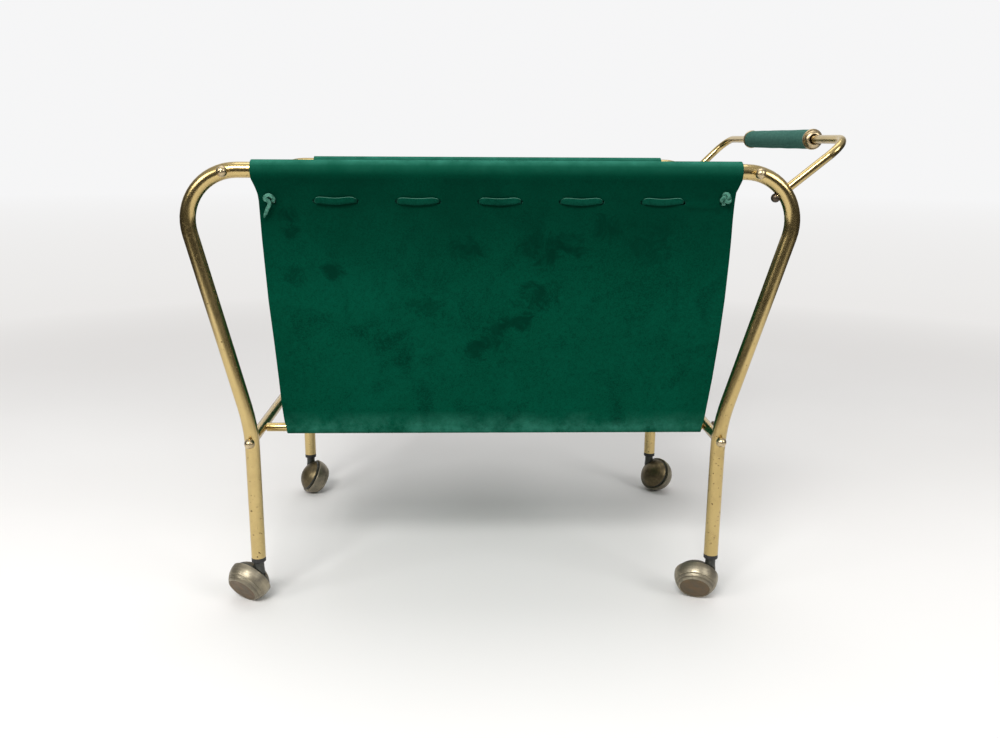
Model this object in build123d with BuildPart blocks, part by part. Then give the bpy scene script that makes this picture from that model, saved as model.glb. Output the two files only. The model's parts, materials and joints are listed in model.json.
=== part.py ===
from build123d import *
import os
from math import acos, asin, atan2, cos, degrees, radians, sin, sqrt, tan

# A rolling magazine rack: two bent tube frames, a suede sling hung between their top bars,
# a push handle at the right end and four hooded ball casters. Millimetres, +Z up, X along the
# top bars with the handle at +X. The origin is on the floor, under the middle of the rack.

os.makedirs("parts", exist_ok=True)

# ---------------------------------------------------------------- driving dimensions
tube_r = 7.0
tube_wall = 1.0
foot_x = 225.0
foot_y = 159.2
foot_z = 48.4
knee_z = 181.0
knee_bend = 190.0
left_corner_x = 279.2
right_corner_x = 290.0
bar_y = 176.2
bar_z = 422.7
corner_bend = 46.5

brace_z = 168.5
brace_r = 5.25
brace_bore_r = 3.8
plug_length = 14.0
left_spreader_x = -231.5
right_spreader_x = 239.5
spreader_z = 421.5
spreader_r = 4.0
screw_r = 2.0
screw_hole_r = 2.1
screw_head_r = 4.9
screw_head_cut = 0.9  # how much of the ball is cut away where it seats
seat_gap = 0.15

rod_y = 116.0
rod_z = 168.8
rod_r = 4.4
rod_neck_r = 2.5
nut_flats = 8.0
nut_length = 7.0

handle_front_x = 321.0
handle_rear_x = 309.0
handle_y = 175.0
handle_front_z = 451.5
handle_rear_z = 454.9
handle_r = 4.0
handle_bend = 22.0
handle_stud_r = 2.5
ball_nut_r = 4.2

grip_length = 174.0
grip_shift = -3.2
grip_core_r = 7.4
grip_r = 9.2
ferrule_r = 9.5

sling_shift = 8.5
sling_half_top = 216.7
sling_half_lace = 211.4
sling_half_foot = 209.0
sling_thickness = 2.0
sling_gap = 0.15
sling_sag = 4.0
flap_tuck = 19.0
flap_end = 40.0
lace_drop = 25.7
lace_first_x = -190.0
lace_pitch = 36.4
lace_holes = 12
lace_hole_r = 2.3
lace_r = 1.5
lace_bend = 3.0
knot_r = 5.5

ball_r = 21.7
trail = 13.0
stem_inset = 1.0
tilt = 30.0
hood_r = 19.3
stem_r = 3.05
socket_bore_r = 3.1
axle_r = 2.1
bush_bore_r = 2.15

# Where each caster happens to have swivelled to: the way its wheel side faces, from +X.
casters = {
    "front_left": (-1, -1, 240.0),
    "front_right": (1, -1, 252.0),
    "rear_left": (-1, 1, 22.0),
    "rear_right": (1, 1, 38.0),
}


def write(name, part):
    """Labels one piece and writes its file."""
    part.label = name
    export_step(part, f"parts/{name}.step")


# ---------------------------------------------------------------- turned pieces
def turned(origin, axis, outline):
    """A solid turned about an axis. outline is a closed list of (along the axis, radius)."""
    side_way = axis.cross(Vector(0.31, 0.17, 0.93)).normalized()
    with BuildPart() as piece:
        with BuildSketch(Plane(origin=origin, x_dir=axis, z_dir=side_way)):
            with BuildLine():
                for index, here in enumerate(outline):
                    there = outline[(index + 1) % len(outline)]
                    if len(here) == 3:
                        ball_arc(here, there)
                    else:
                        Line(here, there[:2])
            make_face()
        revolve(axis=Axis(origin, axis))
    return piece.part


def ball_arc(here, there):
    """An arc about a centre on the axis, from one outline point to the next."""
    s0, r0, centre = here
    radius = sqrt((s0 - centre) ** 2 + r0**2)
    a0 = atan2(r0, s0 - centre)
    a1 = atan2(there[1], there[0] - centre)
    half = (a0 + a1) / 2
    middle = (centre + radius * cos(half), radius * sin(half))
    ThreePointArc((s0, r0), middle, there[:2])


def on_ball(s, radius):
    """Distance from the axis of a ball's surface, at s along the axis from its middle."""
    return sqrt(radius**2 - s**2)


# ---------------------------------------------------------------- where the corners bend
def slant_way(corner_x):
    """The direction of a slanted side, from its knee up to its corner."""
    return Vector(corner_x - foot_x, bar_y - foot_y, bar_z - knee_z).normalized()


def bend_reach(corner_x):
    """How far from the frames' middle the middle of a top corner's bend is."""
    return corner_x - corner_bend * tan(acos(-slant_way(corner_x).X) / 2)


# (bend_x, bend_z) is the middle of the right top corner's bend
bend_x = bend_reach(right_corner_x)
bend_z = bar_z - corner_bend * cos(asin(slant_way(right_corner_x).Y))
# the handle makes the rack longer to the right, so the frames' middle is left of the origin
left_end = bend_reach(left_corner_x) + corner_bend + tube_r
grip_lean = (handle_front_x - handle_rear_x) / (2 * handle_y)
grip_mid_x = (handle_front_x + handle_rear_x) / 2 - grip_shift * grip_lean
right_end = grip_mid_x + (grip_length / 2 + 1.45) * grip_lean + ferrule_r
centre_x = (left_end - right_end) / 2


def at(x, y, z):
    """A point given from the frames' middle."""
    return Vector(x + centre_x, y, z)


def handle_corner(side):
    """Where one arm's line and the crossbar's line meet."""
    if side < 0:
        return at(handle_front_x, -handle_y, handle_front_z)
    return at(handle_rear_x, handle_y, handle_rear_z)


def handle_ray(side):
    """Start and direction of one handle arm: out of the corner's centre, through its middle."""
    start = at(bend_x, side * handle_y, bend_z)
    return start, (handle_corner(side) - start).normalized()


# ---------------------------------------------------------------- frames
def tube_frame(side):
    """One bent tube: foot, knee, slanted side, corner, top bar, and back down again."""
    left = [
        (-foot_x, foot_y, foot_z),
        (-foot_x, foot_y, knee_z),
        (-left_corner_x, bar_y, bar_z),
    ]
    right = [
        (right_corner_x, bar_y, bar_z),
        (foot_x, foot_y, knee_z),
        (foot_x, foot_y, foot_z),
    ]
    points = [at(x, side * y, z) for x, y, z in left + right]
    with BuildPart() as frame:
        with BuildLine() as path:
            FilletPolyline(*points, radius=[knee_bend, corner_bend, corner_bend, knee_bend])
        with BuildSketch(Plane(origin=path.line @ 0, z_dir=path.line % 0)):
            Circle(tube_r)
            Circle(tube_r - tube_wall, mode=Mode.SUBTRACT)
        sweep(path=path.wire())
        # holes for the brace screws and for the spreader screws, right through
        with BuildSketch(Plane.XZ.offset(-side * foot_y)):
            with Locations((centre_x - foot_x, brace_z), (centre_x + foot_x, brace_z)):
                Circle(screw_hole_r)
        extrude(amount=2 * tube_r, both=True, mode=Mode.SUBTRACT)
        with BuildSketch(Plane.XZ.offset(-side * bar_y)):
            with Locations(
                (centre_x + left_spreader_x, spreader_z),
                (centre_x + right_spreader_x, spreader_z),
            ):
                Circle(screw_hole_r)
        extrude(amount=2 * tube_r, both=True, mode=Mode.SUBTRACT)
        # the handle arm goes in through the outer wall, and its stud out through the inner one
        start, ray = handle_ray(side)
        with BuildSketch(Plane(origin=start + ray * corner_bend, z_dir=ray)):
            Circle(handle_r + 0.1)
        extrude(amount=2 * tube_r, mode=Mode.SUBTRACT)
        with BuildSketch(Plane(origin=start + ray * corner_bend, z_dir=-ray)):
            Circle(handle_stud_r + 0.1)
        extrude(amount=2 * tube_r, mode=Mode.SUBTRACT)
    return frame.part


write("front_frame", tube_frame(-1))
write("rear_frame", tube_frame(1))


# ---------------------------------------------------------------- braces and spreaders
def brace(side):
    """A lower end brace: a tube along Y, its ends hollowed out to sit round the legs."""
    with BuildPart() as tube:
        with BuildSketch(Plane.XZ):
            with Locations((centre_x + side * foot_x, brace_z)):
                Circle(brace_r)
                Circle(brace_bore_r, mode=Mode.SUBTRACT)
        extrude(amount=foot_y, both=True)
        with BuildSketch(Plane.XY.offset(brace_z - 2 * brace_r)):
            for end in (-1, 1):
                with Locations((centre_x + side * foot_x, end * foot_y)):
                    Circle(tube_r + 0.3)
        extrude(amount=4 * brace_r, mode=Mode.SUBTRACT)
        # the bottom rods' necks pass through
        with BuildSketch(Plane.YZ.offset(centre_x + side * foot_x)):
            with Locations((-rod_y, rod_z), (rod_y, rod_z)):
                Circle(rod_neck_r + 0.1)
        extrude(amount=2 * brace_r, both=True, mode=Mode.SUBTRACT)
    return tube.part


def spreader(reach_x):
    """A hidden rod between the top bars' ends, threaded for a screw at each end."""
    half = bar_y - tube_r - 0.35
    with BuildPart() as rod:
        with BuildSketch(Plane.XZ):
            with Locations((centre_x + reach_x, spreader_z)):
                Circle(spreader_r)
        extrude(amount=half, both=True)
        chamfer(rod.edges().filter_by(GeomType.CIRCLE), 0.5)
        for end in (-1, 1):
            with BuildSketch(Plane.XZ.offset(end * half)):
                with Locations((centre_x + reach_x, spreader_z)):
                    Circle(screw_r)
            extrude(amount=-end * plug_length, mode=Mode.SUBTRACT)
    return rod.part


write("left_lower_brace", brace(-1))
write("right_lower_brace", brace(1))
write("left_top_spreader", spreader(left_spreader_x))
write("right_top_spreader", spreader(right_spreader_x))

with BuildPart() as lower_brace_plugs:
    # a threaded plug in each end of each brace
    for side in (-1, 1):
        for end in (-1, 1):
            with BuildSketch(Plane.XZ.offset(end * (foot_y - tube_r - 1.5))):
                with Locations((centre_x + side * foot_x, brace_z)):
                    Circle(brace_bore_r)
                    Circle(screw_r, mode=Mode.SUBTRACT)
            extrude(amount=-end * plug_length)
write("lower_brace_plugs", lower_brace_plugs.part)


def ball_head_screw(x, z, face_y, end, length):
    """A ball-headed screw that goes in along Y from the outside face of a tube."""
    head_y = face_y + screw_head_r - screw_head_cut
    rim = sqrt(screw_head_r**2 - (screw_head_r - screw_head_cut) ** 2)
    with BuildPart() as screw:
        with BuildSketch(Plane(origin=(x, 0, z), x_dir=(0, end, 0), z_dir=(end, 0, 0))):
            with BuildLine():
                Line((face_y - length, 0), (face_y - length, screw_r))
                Line((face_y - length, screw_r), (face_y, screw_r))
                Line((face_y, screw_r), (face_y, rim))
                ThreePointArc((face_y, rim), (head_y, screw_head_r), (head_y + screw_head_r, 0))
                Line((head_y + screw_head_r, 0), (face_y - length, 0))
            make_face()
        revolve(axis=Axis((x, 0, z), (0, 1, 0)))
    return screw.part


def screw_group(left_x, right_x, z, centre_y):
    """Four screws, at both ends of the front and rear frames."""
    length = 2 * tube_r + plug_length - 2
    with BuildPart() as group:
        for reach_x in (left_x, right_x):
            for end in (-1, 1):
                face_y = centre_y + tube_r + seat_gap
                add(ball_head_screw(centre_x + reach_x, z, face_y, end, length))
    return group.part


write("lower_brace_screws", screw_group(-foot_x, foot_x, brace_z, foot_y))
write("top_spreader_screws", screw_group(left_spreader_x, right_spreader_x, spreader_z, bar_y))


# ---------------------------------------------------------------- bottom rods
def bottom_rod(side):
    """A rod along the bottom of the sling; its necked ends go through the braces."""
    shoulder = foot_x - brace_r - 0.1
    tip = foot_x + brace_r + nut_length - 1.0
    with BuildPart() as rod:
        with BuildSketch(Plane.YZ.offset(centre_x)):
            with Locations((side * rod_y, rod_z)):
                Circle(rod_r)
        extrude(amount=shoulder, both=True)
        chamfer(rod.edges().filter_by(GeomType.CIRCLE), 0.4)
        with BuildSketch(Plane.YZ.offset(centre_x)):
            with Locations((side * rod_y, rod_z)):
                Circle(rod_neck_r)
        extrude(amount=tip, both=True)
    return rod.part


write("front_bottom_rod", bottom_rod(-1))
write("rear_bottom_rod", bottom_rod(1))

with BuildPart() as bottom_rod_nuts:
    # a domed hexagon nut on each end of each bottom rod
    for end in (-1, 1):
        seat = centre_x + end * (foot_x + brace_r)
        for side in (-1, 1):
            with BuildSketch(Plane.YZ.offset(seat)):
                with Locations((side * rod_y, rod_z)):
                    RegularPolygon(nut_flats / 2, 6, major_radius=False)
            extrude(amount=end * nut_length)
    chamfer(bottom_rod_nuts.edges().group_by(Axis.X)[0], 1.0)
    chamfer(bottom_rod_nuts.edges().group_by(Axis.X)[-1], 1.0)
    for end in (-1, 1):
        seat = centre_x + end * (foot_x + brace_r)
        with BuildSketch(Plane.YZ.offset(seat)):
            with Locations((-rod_y, rod_z), (rod_y, rod_z)):
                Circle(rod_neck_r)
        extrude(amount=end * (nut_length - 1.0), mode=Mode.SUBTRACT)
write("bottom_rod_nuts", bottom_rod_nuts.part)

# ---------------------------------------------------------------- handle
front_start, front_ray = handle_ray(-1)
rear_start, rear_ray = handle_ray(1)
shank_end = corner_bend - 3.8
# a ball nut on each stud, seated on the inside of the corner
seat_s = corner_bend - tube_r - 0.3
ball_s = seat_s - 0.4 * ball_nut_r
stud_end = ball_s - ball_nut_r + 1.4

with BuildPart() as handle_rod:
    with BuildLine() as handle_path:
        FilletPolyline(
            front_start + front_ray * shank_end,
            handle_corner(-1),
            handle_corner(1),
            rear_start + rear_ray * shank_end,
            radius=handle_bend,
        )
    with BuildSketch(Plane(origin=handle_path.line @ 0, z_dir=handle_path.line % 0)):
        Circle(handle_r)
    sweep(path=handle_path.wire())
    for start, ray in ((front_start, front_ray), (rear_start, rear_ray)):
        with BuildSketch(Plane(origin=start + ray * (shank_end + 1.0), z_dir=-ray)):
            Circle(handle_stud_r)
        extrude(amount=shank_end + 1.0 - stud_end)
write("handle_rod", handle_rod.part)

with BuildPart() as handle_nuts:
    nut_outline = [
        (ball_s - ball_nut_r, 0, ball_s),
        (seat_s, on_ball(seat_s - ball_s, ball_nut_r)),
        (seat_s, handle_stud_r),
        (stud_end, handle_stud_r),
        (stud_end, 0),
    ]
    for start, ray in ((front_start, front_ray), (rear_start, rear_ray)):
        add(turned(start, ray, nut_outline))
write("handle_nuts", handle_nuts.part)

crossbar = (handle_corner(1) - handle_corner(-1)).normalized()
crossbar_mid = (handle_corner(1) + handle_corner(-1)) * 0.5 + crossbar * (grip_shift / crossbar.Y)
grip_middle = Plane(origin=crossbar_mid, x_dir=(1, 0, 0), z_dir=crossbar)


def sleeve(outer_r, inner_r):
    """A round sleeve as long as the grip, on the crossbar."""
    with BuildPart() as ring:
        with BuildSketch(grip_middle):
            Circle(outer_r)
            Circle(inner_r, mode=Mode.SUBTRACT)
        extrude(amount=grip_length / 2, both=True)
    return ring.part


write("handle_grip_core", sleeve(grip_core_r, handle_r + 0.05))
write("handle_grip_cover", sleeve(grip_r, grip_core_r + 0.05))


def ferrule(end):
    """A turned cap against one end of the grip: a rim, a groove, then a shallow dome."""
    bore = handle_r + 0.05
    base = grip_length / 2 + 0.05
    with BuildPart() as cap:
        with BuildSketch(Plane(origin=crossbar_mid, x_dir=crossbar * end, z_dir=(1, 0, 0))):
            with BuildLine():
                Line((base, bore), (base, ferrule_r - 0.6))
                rim_top = (base + 1.4, ferrule_r)
                ThreePointArc((base, ferrule_r - 0.6), rim_top, (base + 2.8, ferrule_r - 0.6))
                Line((base + 2.8, ferrule_r - 0.6), (base + 2.8, ferrule_r - 1.6))
                Line((base + 2.8, ferrule_r - 1.6), (base + 3.6, ferrule_r - 1.6))
                ThreePointArc((base + 3.6, ferrule_r - 1.6), (base + 5.6, 6.4), (base + 6.6, bore))
                Line((base + 6.6, bore), (base, bore))
            make_face()
        revolve(axis=Axis(crossbar_mid, crossbar))
    return cap.part


write("front_grip_ferrule", ferrule(-1))
write("rear_grip_ferrule", ferrule(1))

# ---------------------------------------------------------------- sling
# The sling's middle surface, seen from the end: over one top bar, down and round one bottom
# rod, across with a little sag, and up to the other. (y, z) pairs on the +Y half.
mid = sling_thickness / 2
loop_r = tube_r + sling_gap + mid
wrap_r = rod_r + sling_gap + mid
run = Vector(rod_y - bar_y, rod_z - bar_z)
lean = (loop_r - wrap_r) / run.length
along = run.normalized()
panel_out = along * lean + Vector(-along.Y, along.X) * sqrt(1 - lean**2)
panel_down = Vector(panel_out.Y, -panel_out.X)
bar_mid = Vector(bar_y, bar_z)
rod_mid = Vector(rod_y, rod_z)
panel_top = bar_mid + panel_out * loop_r
panel_foot = rod_mid + panel_out * wrap_r


def on_panel(down, inward):
    """A point from the panel's top: so far down along it, and so far in from its middle."""
    return panel_top + panel_down * down - panel_out * inward


def on_loop(angle):
    """A point on the loop round the bar; 0 is straight down the panel, 90 is inward."""
    return on_panel(loop_r * cos(radians(angle)), loop_r + loop_r * sin(radians(angle)))


flap_in = sling_thickness + 0.2
tuck_reach = sqrt(flap_tuck**2 + (loop_r - flap_in) ** 2)
tuck_angle = atan2(flap_in - loop_r, flap_tuck) + acos(loop_r / tuck_reach)
leave_angle = degrees(tuck_angle)
sag_r = (rod_y**2 + sling_sag**2) / (2 * sling_sag)
sag_centre_z = rod_z + sqrt((sag_r - wrap_r) ** 2 - rod_y**2)
sag_way = (rod_mid - Vector(0, sag_centre_z)).normalized()
wrap_mid_way = (panel_out + sag_way).normalized()
sag_start = rod_mid + sag_way * wrap_r


def flip(point, side):
    """A (y, z) point on the chosen half of the rack."""
    return (side * point.X, point.Y)


def half_profile(side):
    """The middle line of one half of the sling, from the tip of its flap to the rod."""
    FilletPolyline(
        flip(on_panel(flap_end, flap_in), side),
        flip(on_panel(flap_tuck, flap_in), side),
        flip(on_loop(leave_angle), side),
        radius=12,
    )
    over = (leave_angle + 270) / 2
    ThreePointArc(flip(on_loop(leave_angle), side), flip(on_loop(over), side), flip(panel_top, side))
    Line(flip(panel_top, side), flip(panel_foot, side))
    wrap_mid = rod_mid + wrap_mid_way * wrap_r
    ThreePointArc(flip(panel_foot, side), flip(wrap_mid, side), flip(sag_start, side))


sling_x = centre_x + sling_shift
with BuildPart() as sling:
    with BuildLine(Plane.YZ.offset(sling_x)) as profile:
        half_profile(-1)
        ThreePointArc(flip(sag_start, -1), (0, sag_centre_z - sag_r), flip(sag_start, 1))
        half_profile(1)
    tip = on_panel(flap_end, flap_in)
    with BuildSketch(
        Plane(
            origin=(sling_x, -tip.X, tip.Y),
            x_dir=(1, 0, 0),
            z_dir=(0, panel_down.X, -panel_down.Y),
        )
    ):
        Rectangle(2 * sling_half_top, sling_thickness)
    sweep(path=profile.wire())
    # the side edges curve in below the bars
    with BuildSketch(Plane.XZ):
        for side in (-1, 1):
            with BuildLine():
                outline = [
                    (sling_half_top + 5, bar_z - 6),
                    (sling_half_top, bar_z - 6),
                    (sling_half_lace, bar_z - 23),
                    (sling_half_foot, rod_z - 20),
                    (sling_half_top + 5, rod_z - 20),
                ]
                Polyline(*[(sling_x + side * x, z) for x, z in outline], close=True)
            make_face()
    extrude(amount=2 * bar_y, both=True, mode=Mode.SUBTRACT)
    # lace holes through the panel and the flap behind it
    for side in (-1, 1):
        hole = panel_top + panel_down * lace_drop
        row_mid = centre_x + lace_first_x + lace_pitch * (lace_holes - 1) / 2
        with BuildSketch(
            Plane(
                origin=(row_mid, side * hole.X, hole.Y),
                x_dir=(1, 0, 0),
                z_dir=(0, side * panel_out.X, panel_out.Y),
            )
        ):
            with GridLocations(lace_pitch, 1, lace_holes, 1):
                Circle(lace_hole_r)
        extrude(amount=8, both=True, mode=Mode.SUBTRACT)
write("sling", sling.part)


# ---------------------------------------------------------------- laces
def lace(side):
    """A thong stitched along one loop: a tail at its left end, a round knot at its right."""
    front = mid + lace_r + 0.2
    back = flap_in + mid + lace_r + 0.2

    def stitch(x, out, down=lace_drop):
        spot = on_panel(down, -out)
        return at(x, side * spot.X, spot.Y)

    points = [stitch(lace_first_x - 8, front, lace_drop + 14)]
    for hole in range(lace_holes):
        x = lace_first_x + hole * lace_pitch
        levels = (front, -back) if hole % 2 == 0 else (-back, front)
        points += [stitch(x, level) for level in levels]
    last_x = lace_first_x + (lace_holes - 1) * lace_pitch
    points[-1] = stitch(last_x, front + 2)
    with BuildPart() as thong:
        with BuildLine() as path:
            FilletPolyline(*points, radius=lace_bend)
        with BuildSketch(Plane(origin=path.line @ 0, z_dir=path.line % 0)):
            Circle(lace_r)
        sweep(path=path.wire())
        with Locations(stitch(last_x, mid + knot_r + 0.2)):
            Sphere(knot_r)
    return thong.part


write("front_lace", lace(-1))
write("rear_lace", lace(1))


# ---------------------------------------------------------------- casters
up = Vector(0, 0, 1)
socket_top = foot_z + 24
flange_z = foot_z - 1.6
skirt_z = foot_z - 4.4
skirt_bore_r = 5.9
ledge_z = foot_z + 17.5
neck_top = flange_z - 0.4
stem_top = foot_z + 21
wheel_rim = -2.0
hood_rim = -2.8
flat = 14.8
wheel_wall = 2.4
inner_flat = flat - 3.2
lip_r = on_ball(flat, ball_r) - 1.2
hood_wall = 2.6
cap_edge = -4.6
web_out = -6.8
web_in = -5.2
boss_r = 4.4
cap_r = 18.7
cap_deep = -14.3
cap_thick = 1.0


def make_caster(name, x_side, y_side, azimuth):
    """All pieces of one caster."""
    foot = at(x_side * foot_x, y_side * foot_y, 0)
    facing = Vector(cos(radians(azimuth)), sin(radians(azimuth)), 0)
    trailing = Vector(facing.Y, -facing.X, 0)
    middle = foot + trailing * trail - facing * stem_inset + up * ball_r
    axle_way = facing * cos(radians(tilt)) - up * sin(radians(tilt))

    # plastic socket in the tube's foot: sleeve, skirted flange, and a ledge that the clip
    # catches on
    socket = turned(
        foot,
        up,
        [
            (flange_z, socket_bore_r),
            (flange_z, skirt_bore_r),
            (skirt_z, skirt_bore_r),
            (skirt_z, tube_r - 0.4),
            (skirt_z + 0.4, tube_r),
            (foot_z, tube_r),
            (foot_z, tube_r - tube_wall - 0.05),
            (socket_top, tube_r - tube_wall - 0.05),
            (socket_top, 4.2),
            (ledge_z, 4.2),
            (ledge_z, socket_bore_r),
        ],
    )
    write(f"{name}_socket", socket)

    # steel stem with a groove for its clip
    stem = turned(
        foot,
        up,
        [
            (neck_top - 12, 0),
            (neck_top - 12, stem_r),
            (ledge_z + 0.3, stem_r),
            (ledge_z + 0.3, 2.4),
            (ledge_z + 1.5, 2.4),
            (ledge_z + 1.5, stem_r),
            (stem_top - 1, stem_r),
            (stem_top, stem_r - 1),
            (stem_top, 0),
        ],
    )
    write(f"{name}_stem", stem)
    clip = turned(
        foot,
        up,
        [(ledge_z + 0.4, 2.45), (ledge_z + 0.4, 4.0), (ledge_z + 1.4, 4.0), (ledge_z + 1.4, 2.45)],
    )
    write(f"{name}_stem_clip", clip)

    # hood: a shell over the wheel's back, with a web, an axle boss and a neck for the stem
    inner = hood_r - hood_wall
    shell = turned(
        middle,
        axle_way,
        [
            (hood_rim, on_ball(hood_rim, inner)),
            (hood_rim, on_ball(hood_rim, hood_r), 0),
            (cap_edge, on_ball(cap_edge, hood_r)),
            (cap_edge, cap_r - 1.4),
            (web_out, cap_r - 3.25),
            (web_out, axle_r),
            (hood_rim - 0.3, axle_r),
            (hood_rim - 0.3, boss_r),
            (web_in, boss_r),
            (web_in, on_ball(web_in, inner), 0),
        ],
    )
    neck_mould = turned(
        foot,
        up,
        [
            (neck_top - 15, 0),
            (neck_top - 15, 5.6),
            (neck_top - 9, 5.0),
            (neck_top - 3.5, 5.0),
            (neck_top - 2.8, 5.5),
            (neck_top, 5.5),
            (neck_top, 0),
        ],
    )
    with BuildPart() as hood:
        add(shell)
        add(neck_mould)
        with BuildSketch(Plane(origin=middle + axle_way * hood_rim, z_dir=axle_way)):
            Circle(2 * ball_r)
        extrude(amount=2 * ball_r, mode=Mode.SUBTRACT)
        with BuildSketch(Plane(origin=foot + up * (neck_top - 12), z_dir=up)):
            Circle(stem_r)
        extrude(amount=20, mode=Mode.SUBTRACT)
    write(f"{name}_hood", hood.part)

    # domed cap over the whole outside of the hood, notched where the neck comes down past it
    cap_start = cap_edge - 0.1
    sagitta = cap_start - cap_deep
    dome_r = (sagitta**2 + cap_r**2) / (2 * sagitta)
    dome_mid = cap_deep + dome_r
    dome = turned(
        middle,
        axle_way,
        [
            (cap_start, cap_r, dome_mid),
            (cap_deep, 0),
            (cap_deep + cap_thick, 0, dome_mid),
            (cap_start, on_ball(cap_start - dome_mid, dome_r - cap_thick)),
        ],
    )
    with BuildPart() as hood_cap:
        add(dome)
        with BuildSketch(Plane(origin=foot + up * (neck_top - 18), z_dir=up)):
            Circle(5.65)
        extrude(amount=20, mode=Mode.SUBTRACT)
    write(f"{name}_hood_cap", hood_cap.part)

    # inclined axle: riveted in the web, with a head that keeps the wheel on
    axle = turned(
        middle,
        axle_way,
        [
            (web_out - 1.4, 0),
            (web_out - 1.2, 2.2),
            (web_out, 3.4),
            (web_out, axle_r),
            (inner_flat + 0.1, axle_r),
            (inner_flat + 0.1, 3.5),
            (inner_flat + 1.1, 3.5),
            (inner_flat + 1.1, 0),
        ],
    )
    write(f"{name}_axle", axle)
    bush = turned(
        middle,
        axle_way,
        [
            (wheel_rim + 0.1, bush_bore_r),
            (wheel_rim + 0.1, 3.78),
            (inner_flat, 3.78),
            (inner_flat, bush_bore_r),
        ],
    )
    write(f"{name}_wheel_bush", bush)

    # half-ball wheel: a hollow cup with a hub, turned steps and a flat end
    cup = ball_r - wheel_wall
    step = 0.5
    wheel = turned(
        middle,
        axle_way,
        [
            (wheel_rim, on_ball(wheel_rim, cup)),
            (wheel_rim, on_ball(wheel_rim, ball_r) - 0.3),
            (wheel_rim + 0.3, on_ball(wheel_rim + 0.3, ball_r), 0),
            (flat - 5.4, on_ball(flat - 5.4, ball_r)),
            (flat - 5.2, on_ball(flat - 5.2, ball_r) - step),
            (flat - 4.2, on_ball(flat - 4.2, ball_r), 0),
            (flat - 2.2, on_ball(flat - 2.2, ball_r)),
            (flat - 2.2, on_ball(flat - 2.2, ball_r) - step),
            (flat - 1.6, on_ball(flat - 2.2, ball_r) - step),
            (flat, on_ball(flat, ball_r)),
            (flat, lip_r),
            (flat - 0.8, lip_r),
            (flat - 0.8, 4.3),
            (inner_flat, 4.3),
            (inner_flat, 3.8),
            (wheel_rim + 0.1, 3.8),
            (wheel_rim + 0.1, 6.2),
            (inner_flat - 1, 6.2),
            (inner_flat - 1, on_ball(inner_flat - 1, cup), 0),
        ],
    )
    write(f"{name}_wheel", wheel)
    disc = turned(
        middle,
        axle_way,
        [
            (flat - 0.8, 0),
            (flat - 0.8, lip_r - 0.05),
            (flat - 0.3, lip_r - 0.05),
            (flat, lip_r - 0.9),
            (flat, 0),
        ],
    )
    write(f"{name}_hub_disc", disc)


for caster_name, (x_side, y_side, azimuth) in casters.items():
    make_caster(caster_name, x_side, y_side, azimuth)
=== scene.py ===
import json
from math import acos, atan2, cos, degrees, pi, radians, sin, sqrt, tau

import bpy
import numpy as np
from mathutils import Matrix, Vector, noise


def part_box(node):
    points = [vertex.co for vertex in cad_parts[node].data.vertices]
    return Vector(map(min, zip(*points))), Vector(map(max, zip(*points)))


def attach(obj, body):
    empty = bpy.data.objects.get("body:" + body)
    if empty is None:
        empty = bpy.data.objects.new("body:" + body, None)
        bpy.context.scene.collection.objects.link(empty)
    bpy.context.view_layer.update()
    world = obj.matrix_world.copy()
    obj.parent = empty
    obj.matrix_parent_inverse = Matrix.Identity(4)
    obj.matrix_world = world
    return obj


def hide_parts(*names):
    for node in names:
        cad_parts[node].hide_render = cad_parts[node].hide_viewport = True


# The looks of a rolling magazine rack: lacquered brass tubes, a green suede sling laced over its
# top bars, a push handle with a suede grip, and four hooded ball casters. Metres, row frame.

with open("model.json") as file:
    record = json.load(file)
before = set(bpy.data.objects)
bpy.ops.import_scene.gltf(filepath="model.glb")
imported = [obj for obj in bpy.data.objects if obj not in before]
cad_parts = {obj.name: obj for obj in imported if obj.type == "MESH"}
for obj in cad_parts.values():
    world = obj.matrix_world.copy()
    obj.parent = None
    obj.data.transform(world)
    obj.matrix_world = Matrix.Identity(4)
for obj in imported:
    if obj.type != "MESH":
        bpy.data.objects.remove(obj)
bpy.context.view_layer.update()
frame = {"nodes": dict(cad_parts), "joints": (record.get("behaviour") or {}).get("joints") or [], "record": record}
record = frame["record"]
nodes = frame["nodes"]
mm = 0.001


# ---------------------------------------------------------------- camera
def make_camera():
    """The photograph's viewpoint: a little above the bars, level with the middle of the rack."""
    down, turn, roll = radians(13.35), radians(1.63), radians(0.3)
    forward = Vector((sin(turn) * cos(down), cos(turn) * cos(down), -sin(down)))
    level = forward.cross(Vector((0, 0, 1))).normalized()
    upright = level.cross(forward)
    right = level * cos(roll) + upright * sin(roll)
    up = upright * cos(roll) - level * sin(roll)
    data = bpy.data.cameras.new("camera")
    data.sensor_width = 36.0
    data.lens = 33.39
    data.shift_x = 0.0095
    camera = bpy.data.objects.new("camera", data)
    bpy.context.scene.collection.objects.link(camera)
    camera.matrix_world = Matrix((right, up, -forward)).transposed().to_4x4()
    camera.location = (-0.0476, -1.0145, 0.4416)
    bpy.context.scene.camera = camera


make_camera()

# ---------------------------------------------------------------- node helpers

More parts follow.
